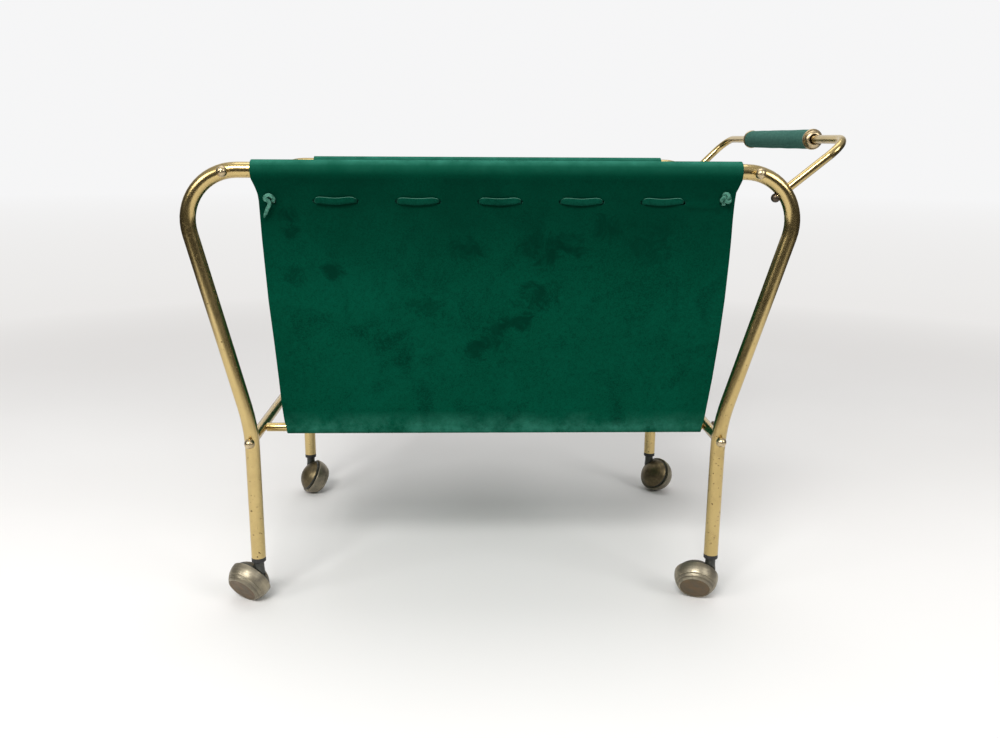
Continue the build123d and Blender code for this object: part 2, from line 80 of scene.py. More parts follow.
class Nodes:
    """A node tree, with short calls for the nodes that the finishes and the world share."""

    def __init__(self, tree):
        self.tree = tree

    def node(self, kind, settings=None, **inputs):
        made = self.tree.nodes.new(kind)
        for key, value in (settings or {}).items():
            setattr(made, key, value)
        for key, value in inputs.items():
            self.put(made.inputs[key.replace("_", " ")], value)
        return made

    def put(self, socket, value):
        if isinstance(value, bpy.types.NodeSocket):
            self.tree.links.new(value, socket)
        else:
            socket.default_value = value

    def ramp(self, factor, *stops):
        """A colour ramp; a stop is (place, colour), or (place, grey)."""
        made = self.node("ShaderNodeValToRGB", Fac=factor)
        marks = made.color_ramp.elements
        while len(marks) < len(stops):
            marks.new(0.5)
        for mark, (place, colour) in zip(marks, stops):
            mark.position = place
            mark.color = (*colour, 1) if isinstance(colour, tuple) else (colour, colour, colour, 1)
        return made.outputs["Color"]

    def mix(self, factor, first, second, blend="MIX"):
        made = self.node("ShaderNodeMix", {"data_type": "RGBA", "blend_type": blend})
        self.put(made.inputs[0], factor)
        for socket, value in ((made.inputs[6], first), (made.inputs[7], second)):
            self.put(socket, (*value, 1) if isinstance(value, tuple) else value)
        return made.outputs[2]

    def math(self, operation, first, second=0.0):
        made = self.node("ShaderNodeMath", {"operation": operation})
        self.put(made.inputs[0], first)
        self.put(made.inputs[1], second)
        return made.outputs[0]

    def times(self, first, second):
        return self.math("MULTIPLY", first, second)

    def minus(self, first, second):
        return self.math("SUBTRACT", first, second)

    def size_of(self, value):
        return self.math("ABSOLUTE", value)

    def blend_shaders(self, factor, first, second):
        made = self.node("ShaderNodeMixShader")
        for socket, value in zip(made.inputs, (factor, first, second)):
            self.put(socket, value)
        return made.outputs[0]

    def parts_of(self, vector):
        made = self.node("ShaderNodeSeparateXYZ", Vector=vector)
        return made.outputs["X"], made.outputs["Y"], made.outputs["Z"]

    def bump(self, height, distance, strength=1.0, normal=None):
        made = self.node("ShaderNodeBump", Height=height, Distance=distance, Strength=strength)
        if normal is not None:
            self.put(made.inputs["Normal"], normal)
        return made.outputs["Normal"]


class Look(Nodes):
    """One material. Its patterns are set out in the object's own coordinates."""

    def __init__(self, name):
        self.material = bpy.data.materials.new(name)
        self.material.use_nodes = True
        super().__init__(self.material.node_tree)
        self.shader = self.tree.nodes["Principled BSDF"]
        self.place = self.node("ShaderNodeTexCoord").outputs["Object"]

    def set(self, **inputs):
        """Sets or links the shader's own sockets."""
        for key, value in inputs.items():
            self.put(self.shader.inputs[key.replace("_", " ")], value)

    def turned_place(self, origin, axis):
        """Coordinates whose Z runs along a turned piece's axis, from its middle."""
        turn = axis.to_track_quat("Z", "Y").inverted()
        shift = -(turn.to_matrix() @ Vector(origin))
        mapping = self.node("ShaderNodeMapping", Vector=self.place)
        mapping.inputs["Rotation"].default_value = turn.to_euler("XYZ")
        mapping.inputs["Location"].default_value = shift
        return mapping.outputs["Vector"]

    def stretched(self, scale, place=None):
        mapping = self.node("ShaderNodeMapping", Vector=place or self.place)
        mapping.inputs["Scale"].default_value = scale
        return mapping.outputs["Vector"]

    def cloud(self, scale, detail=4.0, rough=0.55, place=None, distort=0.0):
        made = self.node(
            "ShaderNodeTexNoise",
            Vector=place or self.place,
            Scale=scale,
            Detail=detail,
            Roughness=rough,
            Distortion=distort,
        )
        return made.outputs["Fac"]

    def cells(self, scale, place):
        made = self.node("ShaderNodeTexVoronoi", Vector=place, Scale=scale)
        return made.outputs["Distance"]


# ---------------------------------------------------------------- finishes
def lacquered_brass(name, base, shade, worn=0.5):
    """Old lacquered brass: a warm sheen that varies along the tube, with pits and freckles."""
    look = Look(name)
    drift = look.cloud(9, detail=3)
    tint = look.mix(look.ramp(drift, (0.35, 0.0), (0.7, 1.0)), base, shade)
    smear = look.cloud(70, detail=6, rough=0.7)
    tint = look.mix(look.ramp(smear, (0.5, 0.0), (0.8, 0.35)), tint, (0.36, 0.25, 0.11))
    # freckles where the lacquer has let go, more of them low on the legs
    low = look.ramp(look.parts_of(look.place)[2], (0.03, worn), (0.25, 0.0))
    speck = look.cloud(420, detail=2, rough=0.5)
    edge = look.math("ADD", look.times(low, 0.06), speck)
    freckle = look.ramp(edge, (0.70, 0.0), (0.735, 1.0))
    tint = look.mix(freckle, tint, (0.10, 0.065, 0.03))
    look.set(Base_Color=tint, Metallic=1.0, Coat_Weight=0.25, Coat_Roughness=0.12, Coat_IOR=1.45)
    rough = look.ramp(look.cloud(35, detail=5, rough=0.65), (0.3, 0.19), (0.75, 0.29))
    look.set(Roughness=look.mix(freckle, rough, (0.6, 0.6, 0.6)))
    ripple = look.bump(look.cloud(45, detail=1), 0.08 * mm, 0.25)
    look.set(Normal=look.bump(look.minus(1.0, freckle), 0.06 * mm, 0.8, ripple))
    return look.material


def turned_metal(name, base, shade, rough=(0.2, 0.4), grain=900, metallic=1.0):
    """Small turned or plated pieces: fine tool marks, and darker patches here and there."""
    look = Look(name)
    drift = look.cloud(120, detail=4, rough=0.6)
    tint = look.mix(look.ramp(drift, (0.38, 0.0), (0.68, 1.0)), base, shade)
    look.set(Base_Color=tint, Metallic=metallic)
    look.set(Roughness=look.ramp(look.cloud(200, detail=4), (0.3, rough[0]), (0.75, rough[1])))
    look.set(Normal=look.bump(look.cloud(grain, detail=3), 0.05 * mm, 0.5))
    return look.material


def moulded(name, base, shade, rough=(0.38, 0.6)):
    """Moulded plastic or thick enamel: faint orange peel, scuffs and dust."""
    look = Look(name)
    scuff = look.cloud(160, detail=6, rough=0.7)
    look.set(Base_Color=look.mix(look.ramp(scuff, (0.48, 0.0), (0.8, 1.0)), base, shade))
    look.set(Roughness=look.ramp(look.cloud(90, detail=5), (0.3, rough[0]), (0.75, rough[1])))
    look.set(Normal=look.bump(look.cloud(700, detail=2), 0.05 * mm, 0.5))
    return look.material


def turned_wood(name):
    """The grip's bare wooden core, with its grain along the handle."""
    look = Look(name)
    grain = look.cloud(260, detail=5, place=look.stretched((1, 0.06, 1)))
    tint = look.ramp(grain, (0.3, (0.34, 0.21, 0.10)), (0.7, (0.55, 0.38, 0.21)))
    look.set(Base_Color=tint, Roughness=look.ramp(grain, (0.3, 0.75), (0.7, 0.6)))
    look.set(Normal=look.bump(grain, 0.15 * mm, 0.6))
    return look.material


def suede(name, deep, mid, light, nap_tint, smudge=1.0, pale_fold_low=0.0, sheen_and_shade_top=0.0, **more):
    """Dyed suede: mottled nap brushed both ways, finger marks, a paler band along a fold, painted shade
    under a roll and a painted highlight on it.

    pale_fold_low is the height of a fold round a rod, and sheen_and_shade_top that of a roll over a
    bar. more may give pale_edge, stains as (x, z, reach, strength), which darken stained
    spots and paint crease shadows, and pale_top, a painted highlight on upward faces,
    with pale_ends, which is the middle and half the span of a lace whose ends are rubbed pale.
    """
    pale_edge, pale_top = more.get("pale_edge", 0.0), more.get("pale_top", 0.0)
    look = Look(name)
    brushed = look.cloud(11, detail=5, rough=0.6, distort=0.6)
    tint = look.mix(look.ramp(brushed, (0.36, 0.0), (0.66, 1.0)), mid, light)
    blot = look.cloud(22, detail=7, rough=0.62, distort=0.7)
    marks = look.times(look.ramp(blot, (0.5, 0.0), (0.70, 0.75)), smudge)
    tint = look.mix(marks, tint, deep)
    thumbed = look.cloud(13, detail=2, rough=0.5, distort=0.4)
    pressed = look.ramp(thumbed, (0.60, 0.0), (0.70, 1.0))
    prints = look.times(pressed, look.ramp(blot, (0.42, 0.0), (0.6, 0.8)))
    tint = look.mix(look.times(prints, smudge), tint, deep)
    nap = look.cloud(260, detail=6, rough=0.75)
    tint = look.mix(look.ramp(nap, (0.35, 0.0), (0.7, 0.45)), tint, light)
    tint = look.mix(look.ramp(nap, (0.30, 0.45), (0.5, 0.0)), tint, deep)
    grain = look.cloud(800, detail=2, rough=0.6)
    tint = look.mix(look.ramp(grain, (0.40, 0.32), (0.52, 0.0)), tint, deep)
    tint = look.mix(look.ramp(grain, (0.50, 0.0), (0.66, 0.45)), tint, light)
    across, _, height = look.parts_of(look.place)
    torn = look.cloud(55, detail=7, rough=0.72, distort=1.0)
    # stained spots, and painted shadow in a crease, darkened towards deep
    for spot_x, spot_z, reach, strength in more.get("stains", ()):
        aside = look.times(look.minus(across, spot_x), 0.8 / reach)
        above = look.times(look.minus(height, spot_z), 1 / reach)
        spread = look.math("ADD", look.times(aside, aside), look.times(above, above))
        ragged = look.math("ADD", spread, look.times(look.minus(0.51, torn), 6.0))
        tint = look.mix(look.ramp(ragged, (0.0, strength), (1.1, 0.0)), tint, deep)
    # painted shade: the panel darker just below the roll over the bar, as if shadowed by it
    if sheen_and_shade_top:
        under = look.times(look.minus(sheen_and_shade_top, height), 1 / (110 * mm))
        shade = look.ramp(under, (0.0, 0.85), (0.36, 0.66), (0.75, 0.28), (1.0, 0.04))
        uneven = look.ramp(look.cloud(17, detail=3), (0.3, 0.72), (0.65, 1.0))
        tint = look.mix(look.times(shade, uneven), tint, deep)
    # a paler, patchy band along the fold round the bottom rod
    if pale_fold_low:
        near = look.times(look.size_of(look.minus(height, pale_fold_low)), 1 / (20 * mm))
        band = look.ramp(near, (0.0, 1.0), (0.45, 0.45), (1.0, 0.0))
        patchy = look.ramp(look.cloud(30, detail=8, rough=0.7), (0.40, 0.05), (0.66, 0.75))
        tint = look.mix(look.times(band, patchy), tint, nap_tint)
    # painted highlight: the roll over the bar lighter and paler, as if lit from above
    if sheen_and_shade_top:
        over = look.times(look.minus(height, sheen_and_shade_top), 1 / (16 * mm))
        tint = look.mix(look.ramp(over, (0.0, 0.0), (0.7, 0.8)), tint, look.mix(0.5, light, mid))
        band = look.ramp(over, (0.25, 0.0), (0.75, 0.22), (1.0, 0.85))
        patchy = look.ramp(look.cloud(60, detail=5), (0.3, 0.45), (0.7, 1.0))
        tint = look.mix(look.times(band, patchy), tint, nap_tint)
    # cut side edges show the paler inside of the skin; a lace's upward faces get a painted highlight
    faces = look.parts_of(look.node("ShaderNodeNewGeometry").outputs["Normal"])
    side_edge = look.ramp(look.size_of(faces[0]), (0.55, 0.0), (0.9, pale_edge))
    tint = look.mix(side_edge, tint, nap_tint)
    # painted highlight on the lace's upward faces, as if lit from above; then its rubbed ends paler
    if pale_top:
        tint = look.mix(look.ramp(faces[2], (0.45, 0.0), (0.85, pale_top)), tint, nap_tint)
        middle, span = more["pale_ends"]
        outer = look.times(look.size_of(look.minus(across, middle)), 1 / span)
        rubbed = look.ramp(look.cloud(300, detail=3), (0.38, 0.25), (0.6, 0.75))
        worn = look.times(look.ramp(outer, (0.90, 0.0), (0.94, 1.0)), rubbed)
        tint = look.mix(worn, tint, nap_tint)
    look.set(Base_Color=tint, Roughness=look.ramp(nap, (0.3, 0.86), (0.7, 0.98)))
    look.set(Specular_IOR_Level=0.02, Sheen_Weight=0.3, Sheen_Roughness=0.35)
    look.set(Sheen_Tint=(*nap_tint, 1))
    soft = look.bump(blot, 0.6 * mm, 0.35)
    fibres = look.bump(look.cloud(1500, detail=3, rough=0.7), 0.16 * mm, 0.7, soft)
    look.set(Normal=look.bump(nap, 0.3 * mm, 0.5, fibres))
    return look.material


def worn_bronze(name, origin, axis, bright, dull, dirt):
    """A rolled and knocked bronze finish on a turned piece: rings about its axis, dents, wear."""
    look = Look(name)
    place = look.turned_place(origin, axis)
    rings = look.cloud(900, detail=2, place=look.stretched((0.02, 0.02, 1), place))
    patch = look.cloud(75, detail=6, rough=0.68, place=place)
    tint = look.mix(look.ramp(patch, (0.36, 0.0), (0.62, 1.0)), dull, bright)
    tint = look.mix(look.ramp(rings, (0.4, 0.25), (0.62, 0.0)), tint, dirt)
    spots = look.cloud(190, detail=5, rough=0.7, place=place)
    tint = look.mix(look.ramp(spots, (0.58, 0.0), (0.72, 0.7)), tint, dirt)
    look.set(Base_Color=tint, Metallic=0.85)
    look.set(Roughness=look.ramp(patch, (0.35, 0.52), (0.7, 0.32)))
    turned_lines = look.bump(rings, 0.12 * mm, 0.5)
    hollows = look.ramp(look.cells(170, place), (0.0, 0.0), (0.12, 1.0))
    knocks = look.bump(hollows, 0.15 * mm, 0.35, turned_lines)
    look.set(Normal=look.bump(look.cloud(330, detail=5, rough=0.7, place=place), 0.2 * mm, 0.5, knocks))
    return look.material


SUEDE_DEEP = (0.0, 0.024, 0.013)
SUEDE_MID = (0.0003, 0.052, 0.027)
SUEDE_LIGHT = (0.0008, 0.069, 0.038)
SUEDE_NAP = (0.035, 0.20, 0.14)
GRIP_NAP = (0.16, 0.33, 0.28)

# The rear top bar's middle and the rear bottom rod's, as (y, z). The front ones mirror them.
tube_r = 7 * mm
low_front, high_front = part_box("front_frame")
bar = Vector((-low_front.y - tube_r, high_front.z - tube_r))
low_rod, high_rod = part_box("rear_bottom_rod")
rod = Vector(((low_rod.y + high_rod.y) / 2, (low_rod.z + high_rod.z) / 2))
rod_r = (high_rod.z - low_rod.z) / 2

low_sling, high_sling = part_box("sling")
sling_x = (low_sling.x + high_sling.x) / 2
half_top = (high_sling.x - low_sling.x) / 2

# The lace holes' places along the sling. The CAD lace reaches a little past the first hole.
hole_count = 12
hole_pitch = 36.4 * mm
lace_past_hole = 9.5 * mm
low_lace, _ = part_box("front_lace")
holes = [low_lace.x + lace_past_hole + i * hole_pitch for i in range(hole_count)]

# Finger marks and stained spots on the sling, with a painted crease shadow among them, from its
# middle and the top bars' height: across, down, reach, all in mm, and how dark
STAINS_AND_SHADOWS = ((-28, 70, 15, 0.8), (42, 72, 19, 0.9), (68, 66, 15, 0.9), (98, 49, 17, 0.8))
STAINS_AND_SHADOWS += ((34, 118, 17, 0.8), (22, 142, 13, 0.8), (0, 158, 14, 0.7), (-20, 172, 12, 0.7))
# the first two here are painted shadow in the crease below the curled tail
STAINS_AND_SHADOWS += ((-187, 40, 9, 1.0), (-184, 54, 8, 0.9), (-150, 92, 10, 0.8), (-185, 96, 12, 0.6))
STAINS_AND_SHADOWS += ((140, 62, 24, 0.6), (-60, 128, 16, 0.5))
stains = [(sling_x + x * mm, bar.y - down * mm, r * mm, dark) for x, down, r, dark in STAINS_AND_SHADOWS]

finishes = {
    "brass_tube": lacquered_brass("brass_tube", (0.60, 0.455, 0.20), (0.50, 0.37, 0.145)),
    "brass_fitting": turned_metal("brass_fitting", (0.62, 0.50, 0.31), (0.42, 0.32, 0.18), (0.28, 0.42)),
    "dark_nut": turned_metal("dark_nut", (0.06, 0.05, 0.045), (0.13, 0.10, 0.07), (0.3, 0.5)),
    "steel": turned_metal("steel", (0.56, 0.56, 0.57), (0.36, 0.35, 0.33), (0.25, 0.42)),
    "grip_core": turned_wood("grip_core"),
    "grip_suede": suede(
        "grip_suede", (0.02, 0.07, 0.055), (0.038, 0.125, 0.10), (0.075, 0.19, 0.155), GRIP_NAP, 0.5
    ),
    "sling_suede": suede(
        "sling_suede",
        SUEDE_DEEP,
        SUEDE_MID,
        SUEDE_LIGHT,
        SUEDE_NAP,
        pale_fold_low=rod.y,
        # where the painted shade below the roll meets the painted highlight on it
        sheen_and_shade_top=bar.y - 8 * mm,
        pale_edge=0.5,
        stains=stains,
    ),
    # the lace's colours are darker than the sling's: painted shade, matching the painted shade under the roll
    # where the lace runs
    "lace_suede": suede(
        "lace_suede",
        SUEDE_DEEP,
        (0.0006, 0.040, 0.022),
        (0.003, 0.062, 0.038),
        (0.12, 0.32, 0.24),
        pale_top=0.9,
        pale_ends=((holes[0] + holes[-1]) / 2, (holes[-1] - holes[0]) / 2 + 7 * mm),
    ),
    "black_plastic": moulded("black_plastic", (0.012, 0.012, 0.012), (0.05, 0.048, 0.045)),
    "hood_enamel": moulded("hood_enamel", (0.022, 0.024, 0.019), (0.09, 0.085, 0.065), (0.3, 0.55)),
    "bush_plastic": moulded("bush_plastic", (0.66, 0.62, 0.52), (0.4, 0.36, 0.28)),
    "hub_brown": turned_metal(
        "hub_brown", (0.155, 0.10, 0.05), (0.10, 0.085, 0.055), (0.4, 0.6), 600, 0.5
    ),
}


def paint(node, material):
    """Gives a CAD node its finish, in every slot that it has."""
    slots = nodes[node].data.materials
    if not len(slots):
        slots.append(material)
    for index in range(len(slots)):
        slots[index] = material


# ---------------------------------------------------------------- mesh helpers
def new_piece(name, points, faces, slot):
    """A smooth mesh on the fixed frame, in its slot's finish. Every soft piece rides there."""
    mesh = bpy.data.meshes.new(name)
    mesh.from_pydata([tuple(p) for p in points], [], faces)
    mesh.update()
    mesh.polygons.foreach_set("use_smooth", [True] * len(mesh.polygons))
    piece = bpy.data.objects.new(name, mesh)
    bpy.context.scene.collection.objects.link(piece)
    mesh.materials.append(finishes[slot])
    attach(piece, "frame")
    return piece


def between(start, end, count):
    """count even steps from start towards end, with the last point left out."""
    return [start + (end - start) * step / count for step in range(count)]


def step_up(low, high, value):
    """0 below low, 1 above high, and a smooth rise between them."""
    share = min(1.0, max(0.0, (value - low) / (high - low)))
    return share * share * (3 - 2 * share)


def smooth_line(points, steps):
    """A smooth curve through the points, with so many steps from each to the next."""
    padded = [points[0] * 2 - points[1], *points, points[-1] * 2 - points[-2]]
    line = []
    for a, b, c, d in zip(padded, padded[1:], padded[2:], padded[3:]):
        for step in range(steps):
            t = step / steps
            square, cube = a * 2 - b * 5 + c * 4 - d, b * 3 - a - c * 3 + d
            line.append((b * 2 + (c - a) * t + square * t**2 + cube * t**3) / 2)
    line.append(points[-1].copy())
    return line


# ---------------------------------------------------------------- sling
# Seen from the end, in (y, z) on the +Y half: over one top bar, down to a bottom rod, round it,
# and across with a little sag to the middle.
sheet_t = 1.9 * mm
half_suede = 1 * mm
bar_gap = 0.15 * mm
loop_r = tube_r + bar_gap + half_suede
wrap_r = rod_r + bar_gap + half_suede
# The flap lies flap_in inside the panel. It leaves the loop flap_tuck below the panel's top, and
# ends flap_end below it. The lace goes through both, lace_drop below it.
flap_in = 2.2 * mm
flap_end = 40 * mm
flap_tuck = 19 * mm
lace_drop = 25.7 * mm
sag = 4 * mm

# The panel touches the loop and the wrap, so it leans a little from the line between the middles.
run = rod - bar
lean = (loop_r - wrap_r) / run.length
down_run = run.normalized()
panel_out = down_run * lean + Vector((-down_run.y, down_run.x)) * sqrt(1 - lean**2)
panel_down = Vector((panel_out.y, -panel_out.x))
panel_top = bar + panel_out * loop_r
panel_foot = rod + panel_out * wrap_r


def on_panel(down, inward):
    """So far down the panel, and so far in from the middle of its thickness."""
    return panel_top + panel_down * down - panel_out * inward


def on_loop(angle):
    """On the loop round the bar: 0 is straight down the panel, 90 is inward."""
    a = radians(angle)
    return on_panel(loop_r * cos(a), loop_r + loop_r * sin(a))


# Where the flap leaves the loop, and the arc of the bottom's sag, tangent to the wraps
tuck_reach = sqrt(flap_tuck**2 + (loop_r - flap_in) ** 2)
leave = degrees(atan2(flap_in - loop_r, flap_tuck) + acos(loop_r / tuck_reach))
sag_r = (rod.x**2 + sag**2) / (2 * sag)
sag_centre = rod.y + sqrt((sag_r - wrap_r) ** 2 - rod.x**2)
sag_way = (rod - Vector((0, sag_centre))).normalized()


def half_profile(step):
    """Points of one half of the sling, from the flap's tip to the bottom's middle, and the
    indices of the rows that the lace goes through: on the flap, and on the panel."""
    flap_row, loop_rows, panel_rows, hem_rows, wrap_rows = 3, 22, 11, 5, 9
    ease = 3 * mm
    hem_drop = lace_drop + 12 * mm
    tuck = on_panel(flap_tuck, flap_in)
    into = on_loop(leave)
    start, end = on_panel(flap_tuck + ease, flap_in), tuck + (into - tuck).normalized() * ease
    rows = between(on_panel(flap_end, flap_in), on_panel(lace_drop, flap_in), flap_row)
    rows += between(on_panel(lace_drop, flap_in), start, 2)
    rows += [start * (1 - t) ** 2 + tuck * 2 * t * (1 - t) + end * t**2 for t in (0, 0.33, 0.67)]
    rows += between(end, into, 3)
    rows += [on_loop(leave + (270 - leave) * i / loop_rows) for i in range(loop_rows)]
    panel_row = len(rows) + panel_rows
    rows += between(panel_top, on_panel(lace_drop, 0), panel_rows)
    rows += between(on_panel(lace_drop, 0), on_panel(hem_drop, 0), hem_rows)
    rest = panel_foot - on_panel(hem_drop, 0)
    rows += between(on_panel(hem_drop, 0), panel_foot, round(rest.length / step))
    out_angle, in_angle = atan2(panel_out.y, panel_out.x), atan2(sag_way.y, sag_way.x)
    for i in range(wrap_rows):
        a = out_angle + (in_angle - out_angle) * i / wrap_rows
        rows.append(rod + Vector((cos(a), sin(a))) * wrap_r)
    first = rod + sag_way * wrap_r
    low = sag_centre - sag_r
    across = atan2(first.x, sag_centre - first.y)
    count = round(first.x / step)
    for i in range(count + 1):
        a = across * (1 - i / count)
        rows.append(Vector((sag_r * sin(a), low + sag_r * (1 - cos(a)))))
    return rows, flap_row, panel_row


hole_level = on_panel(lace_drop, 0).y

# How far each side edge is drawn in, in mm, at so many mm below the middle of the top bars
LEFT_EDGE = ((6, 0), (9, 0.8), (12, 2.0), (16, 3.4), (21, 4.8), (27, 5.2), (60, 4.6), (120, 4.6))
LEFT_EDGE += ((160, 5.8), (200, 6.6), (225, 6.8), (245, 7.8), (253, 9.2))
RIGHT_EDGE = ((6, 0), (8, 0.4), (11, 1.5), (15, 3.0), (18, 4.3), (27, 4.5), (42, 4.1), (62, 3.0))
RIGHT_EDGE += ((80, 2.3), (118, 1.4), (158, 1.7), (200, 3.1), (222, 4.4), (245, 5.7), (253, 7.2))


def half_side(z, edge):
    """The sling's reach to one side at a height."""
    below = [point[0] for point in edge]
    drawn = [point[1] for point in edge]
    return half_top - float(np.interp((bar.y - z) / mm, below, drawn)) * mm


def sling_grid(rows, columns, flap_rows, lace_rows, side_at_lace):
    """The grid's points: columns as reaches from the middle at the lace's height, moved in or out
    with the drawn side edges, and pushed off the profile."""
    left_lace, right_lace = side_at_lace
    points = []
    for r, here in enumerate(rows):
        ahead = rows[min(r + 1, len(rows) - 1)] - rows[max(r - 1, 0)]
        out = Vector((-ahead.y, ahead.x)).normalized()
        left_more = left_lace - half_side(here.y, LEFT_EDGE)
        right_more = half_side(here.y, RIGHT_EDGE) - right_lace
        for c in columns:
            more = left_more * (c / left_lace) ** 2 if c < 0 else right_more * (c / right_lace) ** 2
            x = sling_x + c + more
            push = unevenness(x, here, r, flap_rows, lace_rows)
            points.append(Vector((x, here.x + out.x * push, here.y + out.y * push)))
    return points


def make_sling():
    """The suede sheet: a grid over the profile, pulled into the lace holes and gently uneven."""
    half, flap_row, panel_row = half_profile(3.2 * mm)
    rows = [Vector((-p.x, p.y)) for p in half] + [p.copy() for p in reversed(half[:-1])]
    flap_rows = (flap_row, len(rows) - 1 - flap_row)
    lace_rows = (panel_row, len(rows) - 1 - panel_row)
    left_columns, pitch_columns, right_columns = 5, 12, 4
    left_lace, right_lace = half_side(hole_level, LEFT_EDGE), half_side(hole_level, RIGHT_EDGE)
    columns = between(-left_lace, holes[0] - sling_x, left_columns)
    for left in holes[:-1]:
        columns += between(left - sling_x, left - sling_x + hole_pitch, pitch_columns)
    columns += between(holes[-1] - sling_x, right_lace, right_columns) + [right_lace]
    points = sling_grid(rows, columns, flap_rows, lace_rows, (left_lace, right_lace))

    wide = len(columns)
    hole_columns = [left_columns + i * pitch_columns for i in range(hole_count)]
    cut = [(row, column) for row in flap_rows + lace_rows for column in hole_columns]
    gone = set(cut)
    faces = []
    for r in range(len(rows) - 1):
        for c in range(wide - 1):
            if any((r + a, c + b) in gone for a in (0, 1) for b in (0, 1)):
                continue
            first = r * wide + c
            faces.append((first, first + 1, first + wide + 1, first + wide))
    for row, column in cut:
        open_hole(points, row, column, wide)
    keep = sorted({i for face in faces for i in face})
    index = {old: new for new, old in enumerate(keep)}
    faces = [tuple(index[i] for i in face) for face in faces]
    piece = new_piece("sling_suede", [points[i] for i in keep], faces, "sling_suede")
    solid = piece.modifiers.new("thickness", "SOLIDIFY")
    solid.thickness = sheet_t
    solid.offset = 0
    edge = piece.modifiers.new("cut_edge", "BEVEL")
    edge.width = 0.45 * mm
    edge.segments = 2
    edge.limit_method = "ANGLE"
    edge.angle_limit = radians(50)
    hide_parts("sling")


def unevenness(x, here, row, flap_rows, lace_rows):
    """How far the sheet stands out of its plain profile at one grid point."""
    hole_pull, hole_reach, dent = 0.8 * mm, 6.5 * mm, 2.0 * mm
    wave = noise.noise(Vector((x * 7, here.x * 9, here.y * 6))) * 1.0 * mm
    ripple = noise.noise(Vector((x * 24 + 5, here.x * 20, here.y * 15))) * 0.35 * mm
    taut = 1 - step_up(bar.y - 14 * mm, bar.y - 2 * mm, here.y)
    firm = step_up(rod.y + 1 * mm, rod.y + 40 * mm, here.y) if abs(here.x) > rod.x - 8 * mm else 0.6
    push = (wave + ripple) * taut * firm
    # the lace draws the panel and the flap together at each hole
    on_flap = min(abs(row - r) for r in flap_rows) <= 3
    on_front = min(abs(row - r) for r in lace_rows) <= 9
    if on_flap or on_front:
        for hole in holes:
            away = (x - hole) ** 2 + (here.y - hole_level) ** 2
            pull = hole_pull * np.exp(-away / hole_reach**2)
            push += -pull if on_front else -pull * 0.6
    if on_front:
        # a crease down beside the curl, and a fold from the last stitch to the knot
        crease = ((x - holes[0] - 13 * mm) / (3.2 * mm)) ** 2
        drop = (here.y - hole_level + 9 * mm) / (15 * mm)
        push -= dent * float(np.exp(-crease - drop**2))
        across = step_up(holes[-2] - 4 * mm, holes[-2] + 6 * mm, x)
        across -= step_up(holes[-1] - 5 * mm, holes[-1], x)
        fold = (here.y - hole_level + 3.5 * mm + (x - holes[-1]) * 0.03) / (2.6 * mm)
        push -= dent * across * float(np.exp(-(fold**2)))
    return float(push)


def open_hole(points, row, column, wide):
    """Draws the eight grid points round a removed one in to the rim of a lace hole."""
    rim_r = 2.1 * mm
    middle = points[row * wide + column]
    for a in (-1, 0, 1):
        for b in (-1, 0, 1):
            if a or b:
                spot = points[(row + a) * wide + column + b]
                away = spot - middle
                spot -= away * (1 - rim_r / away.length)


make_sling()


# ---------------------------------------------------------------- laces
lace_wide = 6.4 * mm
lace_thick = 1.9 * mm
half_sheet = sheet_t / 2
stitch_front = half_sheet + lace_thick / 2 + 0.1 * mm
stitch_back = flap_in + half_sheet + lace_thick / 2 + 0.1 * mm
along = Vector((1, 0, 0))

# The curled tail, from the first hole: across, down and out of the panel, then the thong's width
# and thickness, all in mm
CURL = (
    (0.0, 0.0, -0.6, 3.2, 2.2),
    (-0.4, -0.6, 2.2, 3.2, 2.0),
    (0.6, -3.4, 3.2, 3.2, 1.7),
    (-2.4, -6.4, 3.8, 3.2, 1.6),
    (-5.8, -5.6, 4.4, 3.2, 1.6),
    (-6.6, -3.2, 4.8, 3.2, 1.6),
    (-3.6, -1.4, 5.0, 3.4, 1.6),
    (-3.0, 1.6, 4.4, 3.4, 1.5),
    (-5.0, 5.4, 3.6, 3.4, 1.5),
    (-7.6, 10.6, 3.0, 3.0, 1.3),
    (-9.2, 14.2, 2.6, 1.4, 1.0),
)


def sweep_strip(stations):
    """A closed strip of rounded section through (point, up, width, thickness) stations, where up
    points out of its flat side."""
    sides = 14
    line = [station[0] for station in stations]
    last = len(line) - 1
    points = []
    for i, (here, up, width, thick) in enumerate(stations):
        ahead = (line[min(i + 1, last)] - line[max(i - 1, 0)]).normalized()
        across = ahead.cross(up).normalized()
        out = across.cross(ahead).normalized()
        for k in range(sides):
            a = tau * k / sides
            wide = np.sign(cos(a)) * abs(cos(a)) ** 0.75
            high = np.sign(sin(a)) * abs(sin(a)) ** 0.9
            points.append(here + across * (wide * width / 2) + out * (high * thick / 2))
    faces = []
    for i in range(last):
        for k in range(sides):
            j = (k + 1) % sides
            faces.append((i * sides + k, i * sides + j, (i + 1) * sides + j, (i + 1) * sides + k))
    faces.append(tuple(reversed(range(sides))))
    faces.append(tuple(last * sides + k for k in range(sides)))
    return points, faces


def smooth_strip(stations, steps):
    """A strip swept smoothly through the stations, with so many steps from each to the next."""
    line = smooth_line([station[0] for station in stations], steps)
    last = len(stations) - 1
    finer = []
    for i, here in enumerate(line):
        t = min(i / steps, last - 1e-6)
        a = int(t)
        share = t - a
        before, after = stations[a], stations[a + 1]
        up, wide, thick = (p * (1 - share) + q * share for p, q in zip(before[1:], after[1:]))
        finer.append((here, up.normalized(), wide, thick))
    return sweep_strip(finer)


def merged(meshes):
    """Several (points, faces) as one."""
    points, faces = [], []
    for some_points, some_faces in meshes:
        start = len(points)
        points += some_points
        faces += [tuple(start + i for i in face) for face in some_faces]
    return points, faces


